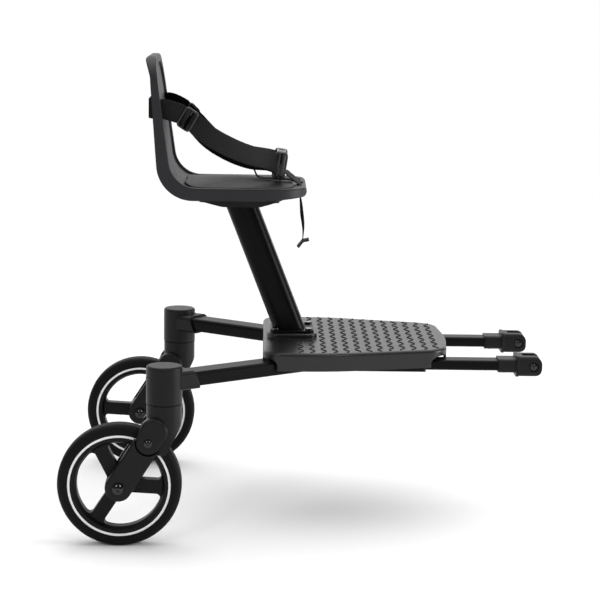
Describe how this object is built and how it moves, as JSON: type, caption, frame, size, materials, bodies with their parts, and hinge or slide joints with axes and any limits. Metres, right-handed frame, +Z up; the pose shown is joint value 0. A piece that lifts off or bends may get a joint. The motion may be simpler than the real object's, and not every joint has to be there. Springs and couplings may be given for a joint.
{
  "type": "buggy board with seat",
  "caption": "Ride-on board with a seat that trails behind a pushchair: splayed tube frame, ribbed deck, sprung caster wheels, leaning post, lap belt and telescopic hitch arms.",
  "frame": {"origin": "on the floor under the middle of the board's box", "axes": "+X forward to the hitch arms, +Y to the rider's left, +Z up"},
  "size_m": [0.6045, 0.4724, 0.589],
  "materials": {
    "frame_tube": "satin",
    "hitch_tube": "satin",
    "post_tube": "satin",
    "caster_plastic": "matte",
    "button_plastic": "satin",
    "bush_plastic": "satin",
    "wheel_plastic": "satin",
    "wheel_ring": "gloss",
    "tyre": "matte",
    "buffer_rubber": "matte",
    "black_steel": "gloss",
    "bright_steel": "satin",
    "deck_plastic": "satin",
    "grip_rubber": "matte",
    "seat_plastic": "matte",
    "pad_foam": "matte",
    "webbing": "matte",
    "buckle_plastic": "satin"
  },
  "bodies": {
    "frame": {"outer_tube_left": "frame_tube", "outer_tube_right": "frame_tube", "cross_plate": "frame_tube", "cross_bar": "frame_tube", "seat_post": "post_tube", "post_foot": "post_tube", "caster_housing_left": "caster_plastic", "caster_housing_right": "caster_plastic", "seat_bracket": "caster_plastic", "guide_bushes": "bush_plastic", "swivel_bushes": "bush_plastic", "clamp_screws": "black_steel", "tube_rivets": "black_steel", "deck_screws": "black_steel", "post_foot_bolts": "black_steel", "seat_bracket_screws": "black_steel", "deck": "deck_plastic", "deck_grip": "grip_rubber", "seat_shell": "seat_plastic", "seat_pad": "pad_foam", "waist_belt": "webbing", "crotch_strap": "webbing", "strap_tail": "webbing", "buckle_socket": "buckle_plastic", "buckle_tongue": "buckle_plastic", "tri_glides": "buckle_plastic", "strap_stopper": "buckle_plastic"},
    "release_button_left": {"release_button_left": "button_plastic"},
    "hitch_arm_left": {"hitch_tube_left": "hitch_tube", "hitch_clevis_left": "caster_plastic", "hitch_bolt_left": "black_steel", "clevis_screw_left": "black_steel"},
    "caster_left": {"swivel_stem_left": "bright_steel", "knuckle_left": "caster_plastic", "pivot_screws_left": "black_steel", "suspension_buffer_left": "buffer_rubber"},
    "swing_fork_left": {"fork_left": "caster_plastic", "axle_left": "black_steel"},
    "wheel_left": {"wheel_rim_left": "wheel_plastic", "wheel_rings_left": "wheel_ring", "tyre_left": "tyre", "wheel_bearings_left": "bright_steel"},
    "release_button_right": {"release_button_right": "button_plastic"},
    "hitch_arm_right": {"hitch_tube_right": "hitch_tube", "hitch_clevis_right": "caster_plastic", "hitch_bolt_right": "black_steel", "clevis_screw_right": "black_steel"},
    "caster_right": {"swivel_stem_right": "bright_steel", "knuckle_right": "caster_plastic", "pivot_screws_right": "black_steel", "suspension_buffer_right": "buffer_rubber"},
    "swing_fork_right": {"fork_right": "caster_plastic", "axle_right": "black_steel"},
    "wheel_right": {"wheel_rim_right": "wheel_plastic", "wheel_rings_right": "wheel_ring", "tyre_right": "tyre", "wheel_bearings_right": "bright_steel"}
  },
  "joints": [
    {"name": "caster_swivel_left", "type": "hinge", "parent": "frame", "child": "caster_left", "pos_m": [-0.1735, 0.206, 0.2], "axis": [0, 0, 1], "continuous": true},
    {"name": "suspension_left", "type": "hinge", "parent": "caster_left", "child": "swing_fork_left", "pos_m": [-0.1915, 0.206, 0.1325], "axis": [0, 1, 0], "range_deg": [0, 12], "stiffness_Nm_per_rad": 25, "springref_deg": -1.72, "deforming": ["suspension_buffer_left"]},
    {"name": "wheel_spin_left", "type": "hinge", "parent": "swing_fork_left", "child": "wheel_left", "pos_m": [-0.2275, 0.206, 0.076], "axis": [0, 1, 0], "continuous": true},
    {"name": "hitch_slide_left", "type": "slide", "parent": "frame", "child": "hitch_arm_left", "axis": [1, 0, 0], "range_m": [-0.04, 0.03]},
    {"name": "button_press_left", "type": "slide", "parent": "frame", "child": "release_button_left", "axis": [0.891, -0.454, 0], "range_m": [0, 0.0025], "stiffness_N_per_m": 400, "springref_m": -0.001},
    {"name": "caster_swivel_right", "type": "hinge", "parent": "frame", "child": "caster_right", "pos_m": [-0.1735, -0.206, 0.2], "axis": [0, 0, 1], "continuous": true},
    {"name": "suspension_right", "type": "hinge", "parent": "caster_right", "child": "swing_fork_right", "pos_m": [-0.1915, -0.206, 0.1325], "axis": [0, 1, 0], "range_deg": [0, 12], "stiffness_Nm_per_rad": 25, "springref_deg": -1.72, "deforming": ["suspension_buffer_right"]},
    {"name": "wheel_spin_right", "type": "hinge", "parent": "swing_fork_right", "child": "wheel_right", "pos_m": [-0.2275, -0.206, 0.076], "axis": [0, 1, 0], "continuous": true},
    {"name": "hitch_slide_right", "type": "slide", "parent": "frame", "child": "hitch_arm_right", "axis": [1, 0, 0], "range_m": [-0.04, 0.03]},
    {"name": "button_press_right", "type": "slide", "parent": "frame", "child": "release_button_right", "axis": [0.891, 0.454, 0], "range_m": [0, 0.0025], "stiffness_N_per_m": 400, "springref_m": -0.001}
  ]
}
